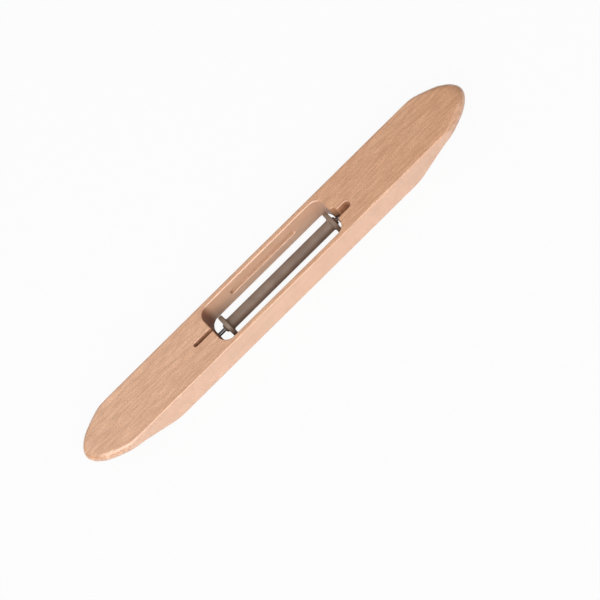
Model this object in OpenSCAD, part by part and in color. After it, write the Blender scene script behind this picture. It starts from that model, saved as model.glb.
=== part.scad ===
// Boat shuttle for a hand loom, with its bobbin on a lifting spindle.
// Millimetres, Z up. X runs along the body, with the spindle's free end at +X.
// The origin is on the flat base, midway between the two tips.

/* [Body] */
// Length from tip to tip
body_len = 381; // [340:1:420]
// Width over the side walls
body_w = 42; // [38:0.5:52]
// Height from the flat base to the top face
body_h = 25.5; // [24:0.5:32]
// Rounding of the long edges
edge_r = 1.5; // [0.8:0.1:2.5]
// Length of the flat base between the two ramps
base_len = 245.8; // [220:0.2:260]
// Angle at which the underside rises towards each nose
ramp_angle = 24.9; // [18:0.1:32]
// Height of the nose's underside above the base
nose_lift = 14.7; // [10:0.1:16]
// Length over which the plan tapers to the tip
nose_len = 32.1; // [24:0.1:45]
// Fullness of the taper, from a pointed to a blunt nose
nose_fullness = 1.36; // [1.1:0.02:2]
// Rounding of the nose's top and bottom edges
nose_r = 4.7; // [2:0.1:5]
// Length of the rounded tip
tip_len = 12; // [8:0.5:16]
// Drop of the top face at the rounded tip
tip_drop = 5.2; // [3:0.1:5.2]

/* [Window] */
// Thickness of the wall on each side of the window
rim_wall = 4.2; // [3:0.1:6]
// Radius of the window's corners
window_corner_r = 7.9; // [4:0.1:8.3]
// Softening of the window's edges
rim_arris = 0.7; // [0.4:0.05:0.9]
// Softening of the slots' edges
arris = 0.4; // [0.3:0.05:0.6]

/* [Thread slot] */
// Length of the slot in the far wall
thread_slot_len = 66.4; // [40:1:80]
// Height of the slot
thread_slot_h = 5.5; // [4.5:0.1:8]
// Height of the slot's middle above the base
thread_slot_mid = 12.7; // [10:0.1:15]

/* [Bobbin] */
// Length over the flanges
bobbin_len = 110.2; // [90:0.2:120]
// Diameter of the flanges
flange_d = 19.3; // [16:0.1:20]
// Thickness of each flange
flange_t = 3.3; // [2.6:0.1:4.5]
// Rounding of the flange's rim
rim_round = 0.7; // [0.4:0.1:1.25]
// Diameter of the barrel
barrel_d = 9.2; // [7:0.1:11]
// Length of the fillet along the barrel
fillet_along = 1.5; // [0.8:0.1:3]
// Height of the fillet up the flange
fillet_up = 1.7; // [1:0.1:2.8]
// Length of the boss outside each flange
boss_len = 1.7; // [0.8:0.1:3]
// Diameter of the boss at the flange
boss_base_d = 7.8; // [6.5:0.1:9]
// Diameter of the boss at its end
boss_end_d = 5.2; // [4.5:0.1:6]

/* [Spindle] */
// Diameter of the rod
spindle_d = 3; // [2.5:0.1:3.2]
// Chamfer at the free tip
tip_chamfer = 0.4; // [0.2:0.05:0.7]
// Outer radius of the hinge eye
eye_r = 2.4; // [2.1:0.1:2.8]
// Thickness of the flattened eye
eye_t = 2; // [1.5:0.1:2.2]
// Length of the flattened neck behind the eye's centre
neck_len = 6.3; // [5:0.1:9]
// Length over which the round rod runs into the flat neck
flatten_len = 3; // [2:0.1:5]

/* [Hinge pin] */
// Diameter of the pin
pin_d = 2; // [1.5:0.1:2.4]
// Distance of the pin from the window
pin_inset = 14.8; // [11:0.1:18]
// Depth of the pin's end below the far side face
pin_recess = 0.4; // [0.1:0.1:1]
// Reach of the pin past the middle, into the near side
pin_reach = 10; // [4:0.5:16]
// Chamfer at the pin's ends
pin_chamfer = 0.25; // [0.1:0.05:0.4]

/* [Free end slot] */
// Width of the finger slot beside the free end
free_slot_w = 5.9; // [5:0.1:9]
// Length of the finger slot from the window
free_slot_len = 14; // [10:0.1:20]
// Distance of the finger slot's middle from the rod, towards the near side
free_slot_side = 5.1; // [4.2:0.1:6]
// Length of the open seat for the rod's tip
seat_len = 3.6; // [3.5:0.1:8]
// Height of wood left beside the seated rod, over the rod's top
seat_cover = 0.4; // [0.2:0.1:1.5]

/* [Clearances] */
// Gap between the flanges and the plane of the base
belly_gap = 1.05; // [0.6:0.05:2]
// Gap around the rod in the bobbin's bore
bore_gap = 0.08; // [0.03:0.01:0.1]
// Gap around the pin in the eye
eye_gap = 0.05; // [0.02:0.01:0.1]
// Gap on each side of the rod in its slot and seat
slot_gap = 0.1; // [0.05:0.01:0.3]
// Gap under and behind the eye
eye_room = 0.3; // [0.2:0.05:0.8]
// Gap between the free end's boss and the window
free_boss_gap = 1; // [0.5:0.1:3]
// Gap that the boss keeps from the window's edge as the spindle lifts
lift_gap = 0.27; // [0.2:0.01:1]
// Gap past the free tip in its seat
tip_gap = 0.3; // [0.2:0.05:1]

/* [Hidden] */
$fn = 64;
// Overrun of a cutter past the face that it opens
over = 1;

// Heights
axis_z = flange_d / 2 + belly_gap;
rise = body_h - axis_z;

// Window and bobbin along X
lift_reach = sqrt(pin_inset * pin_inset + rise * rise);
hinge_boss_gap = lift_reach - pin_inset + lift_gap;
window_len = hinge_boss_gap + bobbin_len + 2 * boss_len + free_boss_gap;
window_w = body_w - 2 * rim_wall;
hinge_wall_x = -window_len / 2;
free_wall_x = window_len / 2;
bobbin_start = hinge_wall_x + hinge_boss_gap + boss_len;

// Hinge end
pin_x = hinge_wall_x - pin_inset;
rod_slot_w = spindle_d + 2 * slot_gap;
rod_slot_r = rod_slot_w / 2;
eye_half = eye_t / 2;
rod_slot_end = pin_x - eye_r - eye_room - rod_slot_r + sqrt(rod_slot_r * rod_slot_r - eye_half * eye_half);
rod_slot_floor = axis_z - eye_r - eye_room;
bore_r = pin_d / 2;

// Free end
free_slot_end = free_wall_x + free_slot_len;
free_slot_floor = axis_z + spindle_d / 2 + seat_cover;
seat_end = free_wall_x + seat_len;
tip_end_r = spindle_d / 2 - tip_chamfer;
tip_x = seat_end - rod_slot_r + sqrt(rod_slot_r * rod_slot_r - tip_end_r * tip_end_r) - tip_gap - tip_chamfer;

// Nose loft
ramp_slope = tan(ramp_angle);
corner_steps = 6;
nose_rings = 30;
loft_len = body_len / 2 - base_len / 2 + 8;
ring_size = 4 * (corner_steps + 1);
// Half width of the small flat that closes the loft at the very tip
tip_half_w = 0.4;
// Distance from the tip within which the edges grow to the nose rounding
blend_from = 40;
blend_to = 15;

function soft_min(a, b, k) = min(a, b) - pow(max(k - abs(a - b), 0) / k, 2) * k / 4;
function soft_max(a, b, k) = -soft_min(-a, -b, k);
function clamp01(t) = min(max(t, 0), 1);
function ease(t) = t * t * (3 - 2 * t);

// Distance of ring i from the tip, closer together towards the tip
function ring_dist(i) = loft_len * pow(i / nose_rings, 1.7);
// Half width of the plan at distance d from the tip
function taper(d) = sqrt(1 - pow(clamp01(1 - d / nose_len), nose_fullness));
function half_w(d) = max(tip_half_w, body_w / 2 * taper(d));
// Height of the ramped underside at distance d from the tip
function ramp_z(d) = soft_min(ramp_slope * (body_len / 2 - d - base_len / 2), nose_lift, 3);
function under_z(d) = soft_max(ramp_z(d), 0, 2.2);
// Rounding of the tip, seen from the side
function tip_t(d) = clamp01(1 - d / tip_len);
function drop_z(d) = tip_drop * (1 - sqrt(1 - tip_t(d) * tip_t(d)));
// Corner rounding at distance d, across and up
function blend(d) = ease(clamp01((blend_from - d) / (blend_from - blend_to)));
function corner_y(d) = min(edge_r + (1.1 * nose_r - edge_r) * blend(d), 0.94 * half_w(d));
function half_h(d) = (body_h - under_z(d)) / 2 - drop_z(d);
function corner_z(d) = min(edge_r + (nose_r - edge_r) * blend(d), 0.94 * half_h(d));
// One point of the section, on corner q at step s
function section_y(d, q, s) =
    ((q == 0 || q == 3) ? 1 : -1) * (half_w(d) - corner_y(d))
    + corner_y(d) * cos(90 * q + 90 * s / corner_steps);
function section_mid(d, q) =
    q < 2 ? body_h - drop_z(d) - corner_z(d) : under_z(d) + drop_z(d) + corner_z(d);
function section_z(d, q, s) = section_mid(d, q) + corner_z(d) * sin(90 * q + 90 * s / corner_steps);
function ring(x, d) = [
    for (q = [0:3])
        for (s = [0:corner_steps])
            [x, section_y(d, q, s), section_z(d, q, s)]
];

// The carved outside of the body, lofted through its sections from tip to tip
module carved_blank() {
    last = 2 * nose_rings + 1;
    dist = [for (i = [0:last]) ring_dist(i <= nose_rings ? i : last - i)];
    side = [for (i = [0:last]) i <= nose_rings ? -1 : 1];
    points = [for (i = [0:last]) each ring(side[i] * (body_len / 2 - dist[i]), dist[i])];
    skin = [
        for (i = [0:last - 1])
            for (j = [0:ring_size - 1])
                let (a = i * ring_size + j, b = i * ring_size + (j + 1) % ring_size)
                each [[a, b + ring_size, b], [a, a + ring_size, b + ring_size]]
    ];
    start_cap = [for (j = [0:ring_size - 1]) j];
    end_cap = [for (j = [0:ring_size - 1]) (last + 1) * ring_size - 1 - j];
    polyhedron(points = points, faces = concat(skin, [start_cap, end_cap]), convexity = 6);
}

// Rounded rectangle in plan, centred, extruded upwards from z = 0
module rounded_block(length, width, corner_r, height) {
    linear_extrude(height)
        union() {
            square([length - 2 * corner_r, width], center = true);
            if (width > 2 * corner_r + 0.01) {
                square([length, width - 2 * corner_r], center = true);
            }
            for (sx = [-1, 1]) {
                for (sy = (width > 2 * corner_r + 0.01) ? [-1, 1] : [0]) {
                    translate([sx * (length / 2 - corner_r), sy * (width / 2 - corner_r)])
                        circle(r = corner_r);
                }
            }
        }
}

// Mouth that opens by 45 degrees from z = -soft, and a little past z = 0
module soft_mouth(length, width, corner_r, soft) {
    grow = soft + 0.1;
    run_x = length / 2 - corner_r;
    run_y = width / 2 - corner_r;
    rotate([90, 0, 90])
        translate([0, 0, -run_x])
            linear_extrude(2 * run_x)
                polygon([
                    [-width / 2, -soft],
                    [width / 2, -soft],
                    [width / 2 + grow, 0.1],
                    [-width / 2 - grow, 0.1]
                ]);
    if (run_y > 0.01) {
        rotate([90, 0, 0])
            translate([0, 0, -run_y])
                linear_extrude(2 * run_y)
                    polygon([
                        [-length / 2, -soft],
                        [length / 2, -soft],
                        [length / 2 + grow, 0.1],
                        [-length / 2 - grow, 0.1]
                    ]);
    }
    for (sx = [-1, 1]) {
        for (sy = run_y > 0.01 ? [-1, 1] : [0]) {
            translate([sx * run_x, sy * run_y, -soft])
                cylinder(h = grow, r1 = corner_r, r2 = corner_r + grow);
        }
    }
}

// Pocket with soft edges that opens through the face at z = 0, depth deep
module pocket(length, width, corner_r, depth) {
    translate([0, 0, -depth])
        rounded_block(length, width, corner_r, depth + over);
    soft_mouth(length, width, corner_r, arris);
}

// The opening for the bobbin, through the body from top to base
module window_cut() {
    translate([0, 0, -over])
        rounded_block(window_len, window_w, window_corner_r, body_h + 2 * over);
    translate([0, 0, body_h])
        soft_mouth(window_len, window_w, window_corner_r, rim_arris);
    mirror([0, 0, 1])
        soft_mouth(window_len, window_w, window_corner_r, rim_arris);
}

// Softens the upright edges of a slot between y = low and y = high, where it leaves the window
// through the end wall at wall_x, with the wood on the given side, from floor_z upwards
module slot_corners(wall_x, side, low, high, floor_z) {
    grow = arris + over;
    translate([wall_x, 0, floor_z])
        mirror([side < 0 ? 1 : 0, 0, 0])
            linear_extrude(body_h - floor_z + over)
                polygon([
                    [-over, low - grow],
                    [arris, low],
                    [arris, high],
                    [-over, high + grow]
                ]);
}

// Slot that takes the rod and its eye at the hinge end
module hinge_slot_cut() {
    start_x = hinge_wall_x + 2 * rod_slot_w;
    length = start_x - rod_slot_end;
    translate([(start_x + rod_slot_end) / 2, 0, body_h])
        pocket(length, rod_slot_w, rod_slot_r, body_h - rod_slot_floor);
    slot_corners(hinge_wall_x, -1, -rod_slot_r, rod_slot_r, rod_slot_floor);
}

// Finger slot beside the free end, with a short way in for the rod's tip and its round seat
module free_slot_cut() {
    start_x = free_wall_x - free_slot_w;
    length = free_slot_end - start_x;
    way_side = rod_slot_r + slot_gap;
    way_end = seat_end + slot_gap;
    way_w = free_slot_side + way_side;
    translate([(start_x + free_slot_end) / 2, -free_slot_side, body_h])
        pocket(length, free_slot_w, free_slot_w / 2, body_h - free_slot_floor);
    translate([(start_x + way_end) / 2, way_side - way_w / 2, body_h])
        pocket(way_end - start_x, way_w, rod_slot_r, body_h - free_slot_floor);
    slot_corners(free_wall_x, 1, -free_slot_side - free_slot_w / 2, way_side, free_slot_floor);
    translate([(start_x + seat_end) / 2, 0, axis_z])
        rounded_block(seat_end - start_x, rod_slot_w, rod_slot_r, free_slot_floor - axis_z + over);
    translate([start_x, 0, axis_z])
        rotate([0, 90, 0])
            cylinder(h = seat_end - rod_slot_r - start_x, r = rod_slot_r);
    translate([seat_end - rod_slot_r, 0, axis_z])
        sphere(r = rod_slot_r);
}

// Slot through the far wall, where the thread leaves the bobbin
module thread_slot_cut() {
    translate([0, body_w / 2, thread_slot_mid])
        rotate([-90, 0, 0]) {
            translate([0, 0, -rim_wall - over])
                rounded_block(thread_slot_len, thread_slot_h, thread_slot_h / 2, rim_wall + 2 * over);
            soft_mouth(thread_slot_len, thread_slot_h, thread_slot_h / 2, arris);
            translate([0, 0, -rim_wall])
                mirror([0, 0, 1])
                    soft_mouth(thread_slot_len, thread_slot_h, thread_slot_h / 2, arris);
        }
}

// Bore for the hinge pin, open in the far side face and blind in the near side
module pin_bore_cut() {
    translate([pin_x, -pin_reach, axis_z])
        rotate([-90, 0, 0])
            cylinder(h = body_w / 2 + pin_reach + over, r = bore_r);
}

// Wooden body, one piece
module shuttle_body() {
    color([0.85, 0.67, 0.54])
        difference() {
            carved_blank();
            window_cut();
            hinge_slot_cut();
            free_slot_cut();
            thread_slot_cut();
            pin_bore_cut();
        }
}

// Steel rod with a flattened eye at the hinge end and a chamfered free tip
module spindle() {
    flat_x = pin_x + neck_len;
    round_x = flat_x + flatten_len;
    neck_h = sqrt(spindle_d * spindle_d / 4 - eye_half * eye_half) - 0.02;
    color([0.76, 0.76, 0.78])
        difference() {
            union() {
                // Round rod with a chamfered tip, pressed flat where it meets the neck
                intersection() {
                    translate([flat_x, 0, axis_z])
                        rotate([0, 90, 0])
                            rotate_extrude()
                                polygon([
                                    [0, 0],
                                    [spindle_d / 2, 0],
                                    [spindle_d / 2, tip_x - tip_chamfer - flat_x],
                                    [tip_end_r, tip_x - flat_x],
                                    [0, tip_x - flat_x]
                                ]);
                    translate([0, 0, axis_z - spindle_d])
                        linear_extrude(2 * spindle_d)
                            polygon([
                                [flat_x - 1, -eye_half],
                                [flat_x, -eye_half],
                                [round_x, -spindle_d],
                                [tip_x + 1, -spindle_d],
                                [tip_x + 1, spindle_d],
                                [round_x, spindle_d],
                                [flat_x, eye_half],
                                [flat_x - 1, eye_half]
                            ]);
                }
                // Flat neck and eye
                translate([pin_x, eye_half, axis_z])
                    rotate([90, 0, 0])
                        linear_extrude(eye_t)
                            union() {
                                circle(r = eye_r);
                                polygon([
                                    [0, -eye_r],
                                    [neck_len + 0.5, -neck_h],
                                    [neck_len + 0.5, neck_h],
                                    [0, eye_r]
                                ]);
                            }
            }
            // Bore of the eye
            translate([pin_x, -eye_t, axis_z])
                rotate([-90, 0, 0])
                    cylinder(h = 2 * eye_t, r = bore_r + eye_gap);
        }
}

// Steel pin, pressed into the body across the hinge slot
module hinge_pin() {
    pin_len = body_w / 2 - pin_recess + pin_reach;
    color([0.62, 0.62, 0.65])
        translate([pin_x, -pin_reach, axis_z])
            rotate([-90, 0, 0])
                rotate_extrude()
                    polygon([
                        [0, 0],
                        [bore_r - pin_chamfer, 0],
                        [bore_r, pin_chamfer],
                        [bore_r, pin_len - pin_chamfer],
                        [bore_r - pin_chamfer, pin_len],
                        [0, pin_len]
                    ]);
}

// Half of the bobbin's section, as [radius, distance from the middle]
function bobbin_half() = let (
    end = bobbin_len / 2,
    rim = flange_d / 2,
    inner = end - flange_t,
    hole = spindle_d / 2 + bore_gap
) concat(
    [for (a = [0:15:90])
        [barrel_d / 2 + fillet_up * (1 - cos(a)), inner - fillet_along * (1 - sin(a))]],
    [for (a = [0:15:90])
        [rim - rim_round * (1 - sin(a)), inner + rim_round * (1 - cos(a))]],
    [for (a = [0:15:90])
        [rim - rim_round * (1 - cos(a)), end - rim_round * (1 - sin(a))]],
    [
        [boss_base_d / 2, end],
        [boss_end_d / 2, end + boss_len],
        [hole, end + boss_len]
    ]
);

// Plastic bobbin, one turned piece: barrel, two flanges and two bosses
module bobbin() {
    half = bobbin_half();
    count = len(half);
    mirrored = [for (i = [count - 1:-1:0]) [half[i][0], -half[i][1]]];
    color([0.55, 0.47, 0.42])
        translate([bobbin_start + bobbin_len / 2, 0, axis_z])
            rotate([0, 90, 0])
                rotate_extrude()
                    polygon(concat(half, mirrored));
}

shuttle_body();
spindle();
hinge_pin();
bobbin();
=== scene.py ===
"""Looks of a wooden boat shuttle with its bobbin, in metres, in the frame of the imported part.

X runs along the body towards the spindle's free end, Y towards the wall with the thread slot.
"""

import math

import bpy
from mathutils import Matrix, Vector


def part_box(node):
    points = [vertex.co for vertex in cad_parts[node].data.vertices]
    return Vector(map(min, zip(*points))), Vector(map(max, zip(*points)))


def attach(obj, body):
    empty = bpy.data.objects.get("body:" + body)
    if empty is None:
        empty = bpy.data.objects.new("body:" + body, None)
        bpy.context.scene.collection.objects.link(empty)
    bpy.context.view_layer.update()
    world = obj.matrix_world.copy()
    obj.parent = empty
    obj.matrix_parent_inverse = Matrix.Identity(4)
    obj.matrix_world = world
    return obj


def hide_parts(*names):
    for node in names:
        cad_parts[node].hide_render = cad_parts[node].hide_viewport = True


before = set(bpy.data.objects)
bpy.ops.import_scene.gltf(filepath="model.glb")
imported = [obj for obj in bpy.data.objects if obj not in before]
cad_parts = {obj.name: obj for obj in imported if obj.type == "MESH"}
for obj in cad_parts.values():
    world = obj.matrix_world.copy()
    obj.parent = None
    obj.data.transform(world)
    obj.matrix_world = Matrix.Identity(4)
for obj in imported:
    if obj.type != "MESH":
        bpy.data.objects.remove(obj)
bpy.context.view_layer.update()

MM = 0.001

# Camera, fitted to the photograph's frame of 600 by 600 pixels
CAMERA_PLACE = Vector((8.9, -759.6, 1393.6)) * MM
CAMERA_AIM = Vector((-0.41, -21.05, 0.0)) * MM
CAMERA_ROLL = math.radians(-45.25)
FRAME_PIXELS = 600
FOCAL_PIXELS = 2166
SENSOR_WIDTH = 36.0
# The fit measured to pixel centres, half a pixel from where a camera counts
HALF_PIXEL = 0.5 / FRAME_PIXELS

# Bobbin, turned in one piece
BOSS_LENGTH = 1.7 * MM
BOSS_BASE_RADIUS = 3.9 * MM
BOSS_END_RADIUS = 2.6 * MM
FLANGE_THICKNESS = 3.3 * MM
RIM_ROUNDING = 0.7 * MM
BARREL_RADIUS = 4.6 * MM
FILLET_ALONG = 1.5 * MM
FILLET_UP = 1.7 * MM
BORE_RADIUS = 1.58 * MM
TURNED_SIDES = 96
ARC_STEPS = 8

# Window, centred on the body
WINDOW_HALF_LENGTH = 60.5 * MM
WINDOW_HALF_WIDTH = 16.8 * MM
WINDOW_CORNER = 7.9 * MM

SMOOTH_ANGLE = math.radians(32)
MERGE_DISTANCE = 1e-6
FLAT_ANGLE = math.radians(0.05)


def srgb(red, green, blue):
    """A colour given as 0 to 255, in the linear values that a shader takes."""
    def linear(value):
        value /= 255
        return value / 12.92 if value <= 0.04045 else ((value + 0.055) / 1.055) ** 2.4
    return (linear(red), linear(green), linear(blue), 1.0)


# Selection and editing

def select_only(obj):
    bpy.ops.object.select_all(action="DESELECT")
    obj.select_set(True)
    bpy.context.view_layer.objects.active = obj


def edit(obj):
    select_only(obj)
    bpy.ops.object.mode_set(mode="EDIT")
    bpy.ops.mesh.select_mode(type="FACE")
    bpy.ops.mesh.select_all(action="DESELECT")


def leave_edit():
    bpy.ops.object.mode_set(mode="OBJECT")


def select_faces(obj, test):
    """Selects the faces for which test(centre, normal) is true, from edit mode."""
    bpy.ops.mesh.select_all(action="DESELECT")
    bpy.ops.object.mode_set(mode="OBJECT")
    for face in obj.data.polygons:
        face.select = test(face.center, face.normal)
    bpy.ops.object.mode_set(mode="EDIT")


def weigh_normals(obj):
    """Large flat faces keep their own normal, so that only the rounded edges shade round."""
    select_only(obj)
    bpy.ops.object.shade_smooth_by_angle(angle=SMOOTH_ANGLE)
    weigh = obj.modifiers.new("flat_faces_first", "WEIGHTED_NORMAL")
    weigh.keep_sharp = True
    weigh.weight = 90
    bpy.ops.object.modifier_apply(modifier=weigh.name)


def carved_copy(node, name):
    """A piece with the shape of a CAD node, as one clean skin with softly shaded rounds."""
    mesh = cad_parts[node].data.copy()
    mesh.materials.clear()
    piece = bpy.data.objects.new(name, mesh)
    bpy.context.scene.collection.objects.link(piece)
    edit(piece)
    bpy.ops.mesh.select_all(action="SELECT")
    bpy.ops.mesh.customdata_custom_splitnormals_clear()
    bpy.ops.mesh.remove_doubles(threshold=MERGE_DISTANCE)
    bpy.ops.mesh.dissolve_limited(angle_limit=FLAT_ANGLE)
    leave_edit()
    weigh_normals(piece)
    return piece


# Pieces

def bobbin_profile():
    """Radius and distance from the flange's inner face, from the barrel out to the bore."""
    rim = (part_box("bobbin")[1].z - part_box("bobbin")[0].z) / 2
    points = []
    for step in range(1, ARC_STEPS + 1):
        turn = math.pi / 2 * step / ARC_STEPS
        radius = BARREL_RADIUS + FILLET_UP * (1 - math.cos(turn))
        points.append((radius, -FILLET_ALONG * (1 - math.sin(turn))))
    for step in range(ARC_STEPS + 1):
        turn = math.pi / 2 * step / ARC_STEPS
        radius = rim - RIM_ROUNDING * (1 - math.sin(turn))
        points.append((radius, RIM_ROUNDING * (1 - math.cos(turn))))
    for step in range(ARC_STEPS + 1):
        turn = math.pi / 2 * step / ARC_STEPS
        radius = rim - RIM_ROUNDING * (1 - math.cos(turn))
        points.append((radius, FLANGE_THICKNESS - RIM_ROUNDING * (1 - math.sin(turn))))
    points.append((BOSS_BASE_RADIUS, FLANGE_THICKNESS))
    points.append((BOSS_END_RADIUS, FLANGE_THICKNESS + BOSS_LENGTH))
    points.append((BORE_RADIUS, FLANGE_THICKNESS + BOSS_LENGTH))
    return points


def bobbin_piece():
    """A cylinder whose two ends are drawn out ring by ring into fillet, flange and boss, then bored."""
    low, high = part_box("bobbin")
    middle = (low + high) / 2
    inner_half = (high.x - low.x) / 2 - BOSS_LENGTH - FLANGE_THICKNESS
    barrel_half = inner_half - FILLET_ALONG
    bpy.ops.mesh.primitive_cylinder_add(
        vertices=TURNED_SIDES, radius=BARREL_RADIUS, depth=2 * barrel_half,
        location=middle, rotation=(0, math.pi / 2, 0))
    piece = bpy.context.object
    piece.name = "bobbin_turned"
    bpy.ops.object.transform_apply(location=True, rotation=True, scale=True)
    edit(piece)
    for side in (-1, 1):
        select_faces(piece, lambda centre, normal: (centre.x - middle.x) * side > barrel_half - MERGE_DISTANCE)
        radius = BARREL_RADIUS
        place = barrel_half
        for new_radius, offset in bobbin_profile():
            new_place = inner_half + offset
            bpy.ops.mesh.extrude_region_move(
                TRANSFORM_OT_translate={"value": (side * (new_place - place), 0, 0)})
            grow = new_radius / radius
            bpy.ops.transform.resize(
                value=(1, grow, grow),
                center_override=(middle.x + side * new_place, middle.y, middle.z))
            radius = new_radius
            place = new_place
        bpy.ops.mesh.delete(type="FACE")
    bpy.ops.mesh.select_mode(type="EDGE")
    bpy.ops.mesh.select_non_manifold()
    bpy.ops.mesh.bridge_edge_loops()
    bpy.ops.mesh.select_all(action="SELECT")
    bpy.ops.mesh.remove_doubles(threshold=MERGE_DISTANCE)
    bpy.ops.mesh.normals_make_consistent(inside=False)
    leave_edit()
    weigh_normals(piece)
    return piece


# Node groups and materials

class Nodes:
    """A short way to add and join the nodes of one tree."""

    def __init__(self, tree):
        self.tree = tree
        self.column = 0

    def add(self, kind, inputs=None, **settings):
        node = self.tree.nodes.new(kind)
        node.location = (self.column, 0)
        self.column += 220
        for name, value in settings.items():
            setattr(node, name, value)
        for name, value in (inputs or {}).items():
            self.put(node, name, value)
        return node

    def put(self, node, name, value):
        socket = node.inputs[name]
        if isinstance(value, bpy.types.NodeSocket):
            self.tree.links.new(value, socket)
        else:
            socket.default_value = value

    def noise(self, vector, scale, detail=2.0, roughness=0.5):
        node = self.add("ShaderNodeTexNoise", {
            "Vector": vector, "Scale": scale, "Detail": detail, "Roughness": roughness})
        return node.outputs["Fac"]

    def stretch(self, vector, scale, turn=(0, 0, 0)):
        node = self.add("ShaderNodeMapping", {
            "Vector": vector, "Rotation": turn, "Scale": scale})
        return node.outputs["Vector"]

    def span(self, value, low, high, to_low=0.0, to_high=1.0):
        node = self.add("ShaderNodeMapRange", {
            "Value": value, "From Min": low, "From Max": high, "To Min": to_low, "To Max": to_high},
            interpolation_type="SMOOTHSTEP")
        return node.outputs["Result"]

    def math(self, operation, first, second):
        node = self.add("ShaderNodeMath", {0: first, 1: second}, operation=operation)
        return node.outputs["Value"]

    def mix(self, factor, first, second, blend="MIX"):
        node = self.add("ShaderNodeMix", data_type="RGBA", blend_type=blend)
        self.put(node, 0, factor)
        self.put(node, 6, first)
        self.put(node, 7, second)
        return node.outputs[2]


def new_group(name, inputs, outputs):
    """An empty node group with the named sockets, and its input and output nodes."""
    group = bpy.data.node_groups.new(name, "ShaderNodeTree")
    for socket_name, kind, value in inputs:
        socket = group.interface.new_socket(socket_name, in_out="INPUT", socket_type=kind)
        if value is not None:
            socket.default_value = value
    for socket_name, kind in outputs:
        group.interface.new_socket(socket_name, in_out="OUTPUT", socket_type=kind)
    nodes = Nodes(group)
    source = nodes.add("NodeGroupInput")
    return group, nodes, source


def handling_marks_group():
    """Soft smudges and hair-fine scratches from hands and yarn, for lacquer, steel and plastic."""
    group, nodes, source = new_group(
        "handling_marks",
        [("Vector", "NodeSocketVector", None),
         ("Smudge Scale", "NodeSocketFloat", 60.0),
         ("Scratch Scale", "NodeSocketVector", (300.0, 6000.0, 6000.0))],
        [("Smudge", "NodeSocketFloat"), ("Scratch", "NodeSocketFloat")])
    smudge = nodes.noise(source.outputs["Vector"], source.outputs["Smudge Scale"], 4.0, 0.6)
    smudge = nodes.span(smudge, 0.35, 0.7)
    fine = nodes.add("ShaderNodeVectorMath", operation="MULTIPLY")
    nodes.put(fine, 0, source.outputs["Vector"])
    nodes.put(fine, 1, source.outputs["Scratch Scale"])
    scratch = nodes.noise(fine.outputs[0], 1.0, 3.0, 0.7)
    scratch = nodes.span(scratch, 0.5, 0.72)
    sink = nodes.add("NodeGroupOutput")
    nodes.put(sink, "Smudge", smudge)
    nodes.put(sink, "Scratch", scratch)
    return group


def beech_grain_group():
    """Beech in the solid: growth streaks and finer lines along X, short ray flecks, and fine pores.

    Lines and flecks are thin across Y, so that they show on the top face and hardly on the side walls.
    """
    group, nodes, source = new_group(
        "beech_grain",
        [("Vector", "NodeSocketVector", None)],
        [("Streak", "NodeSocketFloat"), ("Band", "NodeSocketFloat"), ("Line", "NodeSocketFloat"),
         ("Fleck", "NodeSocketFloat"), ("Pore", "NodeSocketFloat"),
         ("Outer Wall", "NodeSocketFloat"), ("Inner Wall", "NodeSocketFloat"),
         ("End Grain And Shade", "NodeSocketFloat")])
    place = source.outputs["Vector"]
    turned = nodes.stretch(place, (7.0, 130.0, 90.0), (0, math.radians(1.2), math.radians(2.6)))
    streak = nodes.noise(turned, 1.0, 5.0, 0.62)
    wide = nodes.stretch(place, (5.0, 34.0, 26.0), (0, 0, math.radians(-1.8)))
    band = nodes.noise(wide, 1.0, 2.0, 0.5)
    thin = nodes.stretch(place, (75.0, 660.0, 45.0), (0, 0, math.radians(1.6)))
    line = nodes.noise(thin, 1.0, 2.5, 0.55)
    line = nodes.span(line, 0.32, 0.68)
    ribbon = nodes.stretch(place, (900.0, 1300.0, 120.0), (0, 0, math.radians(1.2)))
    fleck = nodes.noise(ribbon, 1.0, 1.0, 0.4)
    fleck = nodes.span(fleck, 0.48, 0.7)
    hair = nodes.stretch(place, (600.0, 9000.0, 9000.0))
    pore = nodes.noise(hair, 1.0, 2.0, 0.6)
    pore = nodes.span(pore, 0.56, 0.74)
    parts = nodes.add("ShaderNodeSeparateXYZ", {"Vector": place})
    along = nodes.math("ABSOLUTE", parts.outputs["X"], 0.0)
    aside = nodes.math("ABSOLUTE", parts.outputs["Y"], 0.0)
    outer = nodes.span(aside, 20.2 * MM, 20.8 * MM)
    past_x = nodes.math("MAXIMUM", nodes.math("SUBTRACT", along, WINDOW_HALF_LENGTH - WINDOW_CORNER), 0.0)
    past_y = nodes.math("MAXIMUM", nodes.math("SUBTRACT", aside, WINDOW_HALF_WIDTH - WINDOW_CORNER), 0.0)
    squares = nodes.math("ADD", nodes.math("POWER", past_x, 2.0), nodes.math("POWER", past_y, 2.0))
    outside = nodes.math("SUBTRACT", nodes.math("SQRT", squares, 0.0), WINDOW_CORNER)
    inner = nodes.span(nodes.math("ABSOLUTE", outside, 0.0), 0.3 * MM, 0.6 * MM, 1.0, 0.0)
    # Darker end walls of the window: partly the end grain's own tone, partly painted shade of the deep end
    # corners, stronger at the hinge end.
    hinge_end = nodes.span(parts.outputs["X"], -58.0 * MM, -50.0 * MM, 1.0, 0.0)
    free_end = nodes.span(parts.outputs["X"], 50.0 * MM, 58.0 * MM, 0.0, 0.35)
    end_grain_and_shade = nodes.math("MULTIPLY", inner, nodes.math("ADD", hinge_end, free_end))
    sink = nodes.add("NodeGroupOutput")
    nodes.put(sink, "Outer Wall", outer)
    nodes.put(sink, "Inner Wall", inner)
    nodes.put(sink, "End Grain And Shade", end_grain_and_shade)
    nodes.put(sink, "Streak", streak)
    nodes.put(sink, "Band", band)
    nodes.put(sink, "Line", line)
    nodes.put(sink, "Fleck", fleck)
    nodes.put(sink, "Pore", pore)
    return group


def new_material(name):
    material = bpy.data.materials.new(name)
    material.use_nodes = True
    material.node_tree.nodes.clear()
    nodes = Nodes(material.node_tree)
    place = nodes.add("ShaderNodeTexCoord").outputs["Object"]
    return material, nodes, place


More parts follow.
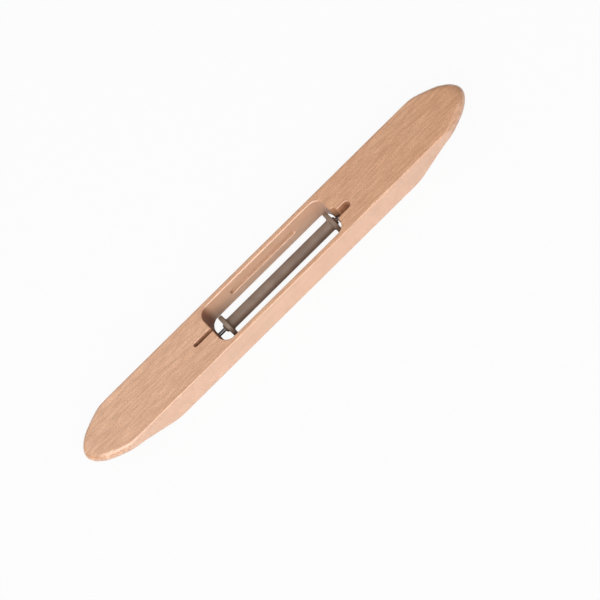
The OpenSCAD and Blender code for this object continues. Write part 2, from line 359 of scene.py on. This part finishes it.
def finish_material(nodes, color, roughness, height, depth, **values):
    """One Principled shader with a bump, and further values or links on its own sockets."""
    bump = nodes.add("ShaderNodeBump", {"Strength": 1.0, "Distance": depth, "Height": height})
    shader = nodes.add("ShaderNodeBsdfPrincipled", {
        "Base Color": color, "Roughness": roughness, "Normal": bump.outputs["Normal"]})
    for name, value in values.items():
        nodes.put(shader, name.replace("_", " "), value)
    sink = nodes.add("ShaderNodeOutputMaterial")
    nodes.put(sink, "Surface", shader.outputs["BSDF"])


def put_group(nodes, group, inputs):
    return nodes.add("ShaderNodeGroup", inputs, node_tree=group)


def beech_material(grain, marks):
    material, nodes, place = new_material("beech_satin_lacquer")
    wood = nodes.tree.nodes.new("ShaderNodeGroup")
    wood.node_tree = grain
    nodes.put(wood, "Vector", place)
    handled = nodes.tree.nodes.new("ShaderNodeGroup")
    handled.node_tree = marks
    nodes.put(handled, "Vector", place)
    nodes.put(handled, "Smudge Scale", 45.0)
    nodes.put(handled, "Scratch Scale", (150.0, 2500.0, 2500.0))
    streak = nodes.span(wood.outputs["Streak"], 0.3, 0.7)
    band = nodes.span(wood.outputs["Band"], 0.35, 0.65)
    color = nodes.mix(streak, srgb(206, 157, 120), srgb(222, 175, 140))
    color = nodes.mix(nodes.math("MULTIPLY", band, 0.5), color, srgb(211, 157, 120))
    tone = nodes.mix(wood.outputs["Line"], srgb(229, 223, 216), srgb(255, 255, 255))
    wall = nodes.math("MAXIMUM", wood.outputs["Outer Wall"], wood.outputs["Inner Wall"])
    lined = nodes.span(wall, 0.0, 1.0, 1.0, 0.4)
    color = nodes.mix(lined, color, nodes.mix(1.0, color, tone, "MULTIPLY"))
    flecked = nodes.span(wall, 0.0, 1.0, 0.85, 0.15)
    fleck = nodes.math("MULTIPLY", wood.outputs["Fleck"], flecked)
    color = nodes.mix(fleck, color, srgb(178, 124, 91))
    # Painted sheen: the outer side walls are tinted to a cooler, less saturated tone.
    color = nodes.mix(nodes.math("MULTIPLY", wood.outputs["Outer Wall"], 0.2), color, srgb(206, 168, 148))
    # Painted light: the window's inner walls are lightened towards a pale tone.
    color = nodes.mix(nodes.math("MULTIPLY", wood.outputs["Inner Wall"], 0.35), color, srgb(232, 192, 162))
    # Painted shade in the window's end corners, partly the darker end grain; the same mask thins the lacquer
    # coat below.
    color = nodes.mix(nodes.math("MULTIPLY", wood.outputs["End Grain And Shade"], 0.85), color, srgb(122, 63, 38))
    color = nodes.mix(nodes.math("MULTIPLY", wood.outputs["Pore"], 0.1), color, srgb(160, 112, 84))
    roughness = nodes.span(handled.outputs["Smudge"], 0.0, 1.0, 0.4, 0.5)
    height = nodes.math("ADD", wood.outputs["Fleck"], wood.outputs["Line"])
    coat = nodes.span(wood.outputs["End Grain And Shade"], 0.0, 1.0, 1.0, 0.15)
    finish_material(
        nodes, color, roughness, height, -0.01 * MM, Coat_Weight=coat, Coat_IOR=1.8, Coat_Roughness=0.3)
    return material


def steel_material(name, marks, tint, polish):
    material, nodes, place = new_material(name)
    handled = nodes.tree.nodes.new("ShaderNodeGroup")
    handled.node_tree = marks
    nodes.put(handled, "Vector", place)
    nodes.put(handled, "Smudge Scale", 250.0)
    nodes.put(handled, "Scratch Scale", (200.0, 7000.0, 7000.0))
    color = nodes.mix(nodes.math("MULTIPLY", handled.outputs["Smudge"], 0.3), tint, srgb(150, 146, 142))
    roughness = nodes.span(handled.outputs["Scratch"], 0.0, 1.0, polish, polish + 0.12)
    finish_material(nodes, color, roughness, handled.outputs["Scratch"], -0.002 * MM, Metallic=1.0)
    return material


def bobbin_material(marks):
    material, nodes, place = new_material("taupe_moulded_plastic")
    handled = nodes.tree.nodes.new("ShaderNodeGroup")
    handled.node_tree = marks
    nodes.put(handled, "Vector", place)
    nodes.put(handled, "Smudge Scale", 130.0)
    nodes.put(handled, "Scratch Scale", (6000.0, 500.0, 500.0))
    cloud = nodes.span(nodes.noise(place, 90.0, 3.0), 0.35, 0.65)
    color = nodes.mix(cloud, srgb(122, 102, 88), srgb(134, 114, 99))
    color = nodes.mix(nodes.math("MULTIPLY", handled.outputs["Scratch"], 0.18), color, srgb(160, 141, 126))
    roughness = nodes.span(handled.outputs["Smudge"], 0.0, 1.0, 0.5, 0.62)
    finish_material(nodes, color, roughness, handled.outputs["Scratch"], 0.003 * MM)
    return material


# Stage, light and camera

def floor_material():
    """White paper: in view it is mostly its own white, so that only a soft shadow darkens it."""
    material, nodes, place = new_material("white_paper")
    path = nodes.add("ShaderNodeLightPath")
    tooth = nodes.span(nodes.noise(place, 900.0, 2.0), 0.3, 0.7, 0.0, 1.0)
    paper = nodes.mix(tooth, srgb(190, 190, 190), srgb(196, 196, 196))
    paper = nodes.mix(path.outputs["Is Glossy Ray"], paper, srgb(246, 246, 246))
    lit = nodes.add("ShaderNodeBsdfDiffuse", {"Color": paper})
    white = nodes.add("ShaderNodeEmission", {"Color": srgb(255, 255, 255), "Strength": 1.0})
    in_view = nodes.math("MULTIPLY", path.outputs["Is Camera Ray"], 0.94)
    mixed = nodes.add("ShaderNodeMixShader", {"Fac": in_view})
    nodes.put(mixed, 1, lit.outputs["BSDF"])
    nodes.put(mixed, 2, white.outputs["Emission"])
    sink = nodes.add("ShaderNodeOutputMaterial")
    nodes.put(sink, "Surface", mixed.outputs["Shader"])
    return material


def add_floor():
    bpy.ops.mesh.primitive_plane_add(size=8.0, location=(0, 0, 0))
    floor = bpy.context.object
    floor.name = "floor"
    floor.data.materials.append(floor_material())


def add_world(strength, mirrored):
    """A white room: strength is what it lights with, mirrored is how bright it shows in a sheen."""
    world = bpy.data.worlds.new("soft_room")
    bpy.context.scene.world = world
    world.use_nodes = True
    world.node_tree.nodes.clear()
    nodes = Nodes(world.node_tree)
    path = nodes.add("ShaderNodeLightPath")
    seen = nodes.math("MAXIMUM", path.outputs["Is Camera Ray"], path.outputs["Is Transmission Ray"])
    level = nodes.span(path.outputs["Is Glossy Ray"], 0.0, 1.0, strength, mirrored)
    level = nodes.math("MAXIMUM", level, seen)
    sky = nodes.add("ShaderNodeBackground", {"Color": (1.0, 1.0, 1.0, 1.0), "Strength": level})
    sink = nodes.add("ShaderNodeOutputWorld")
    nodes.put(sink, "Surface", sky.outputs["Background"])


def add_lamp(name, place, size, power):
    lamp = bpy.data.lights.new(name, "AREA")
    lamp.shape = "SQUARE"
    lamp.size = size
    lamp.energy = power
    obj = bpy.data.objects.new(name, lamp)
    bpy.context.scene.collection.objects.link(obj)
    obj.location = place
    obj.rotation_euler = (-Vector(place)).to_track_quat("-Z", "Y").to_euler()


def add_camera():
    camera = bpy.data.cameras.new("camera")
    camera.sensor_width = SENSOR_WIDTH
    camera.lens = SENSOR_WIDTH * FOCAL_PIXELS / FRAME_PIXELS
    camera.shift_x = -HALF_PIXEL
    camera.shift_y = HALF_PIXEL
    camera.clip_end = 50
    obj = bpy.data.objects.new("camera", camera)
    bpy.context.scene.collection.objects.link(obj)
    aimed = (CAMERA_AIM - CAMERA_PLACE).to_track_quat("-Z", "Y").to_matrix()
    turned = aimed @ Matrix.Rotation(CAMERA_ROLL, 3, "Z")
    obj.matrix_world = Matrix.Translation(CAMERA_PLACE) @ turned.to_4x4()
    bpy.context.scene.camera = obj


def dress(piece, node, body, material):
    """Puts the finish on a piece, which then stands for its CAD node and moves with its body."""
    piece.data.materials.clear()
    piece.data.materials.append(material)
    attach(piece, body)
    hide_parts(node)


bpy.ops.object.select_all(action="DESELECT")
marks_group = handling_marks_group()
grain_group = beech_grain_group()
beech = beech_material(grain_group, marks_group)
# The rod's steel colour is set dark: a painted shade for the dim window it lies in.
rod_steel_painted_dark = steel_material("drawn_steel_rod_painted_dark", marks_group, srgb(118, 118, 122), 0.24)
pin_steel = steel_material("steel_pin", marks_group, srgb(172, 170, 166), 0.34)
taupe = bobbin_material(marks_group)

dress(carved_copy("shuttle_body", "body_carved"), "shuttle_body", "shuttle_body", beech)
dress(carved_copy("spindle", "spindle_rod"), "spindle", "spindle", rod_steel_painted_dark)
dress(carved_copy("hinge_pin", "pin_pressed"), "hinge_pin", "shuttle_body", pin_steel)
dress(bobbin_piece(), "bobbin", "bobbin", taupe)

add_floor()
add_world(0.27, 0.1)
add_lamp("key", (-0.69, -1.665, 1.262), 2.2, 33.8)
add_lamp("left", (-1.1, -1.1, 1.556), 2.2, 27.6)
add_lamp("right", (1.1, -1.1, 1.556), 2.2, 11.6)
add_lamp("back", (-1.1, 1.1, 1.556), 2.2, 13.6)
add_camera()
bpy.context.scene.view_settings.view_transform = "Standard"
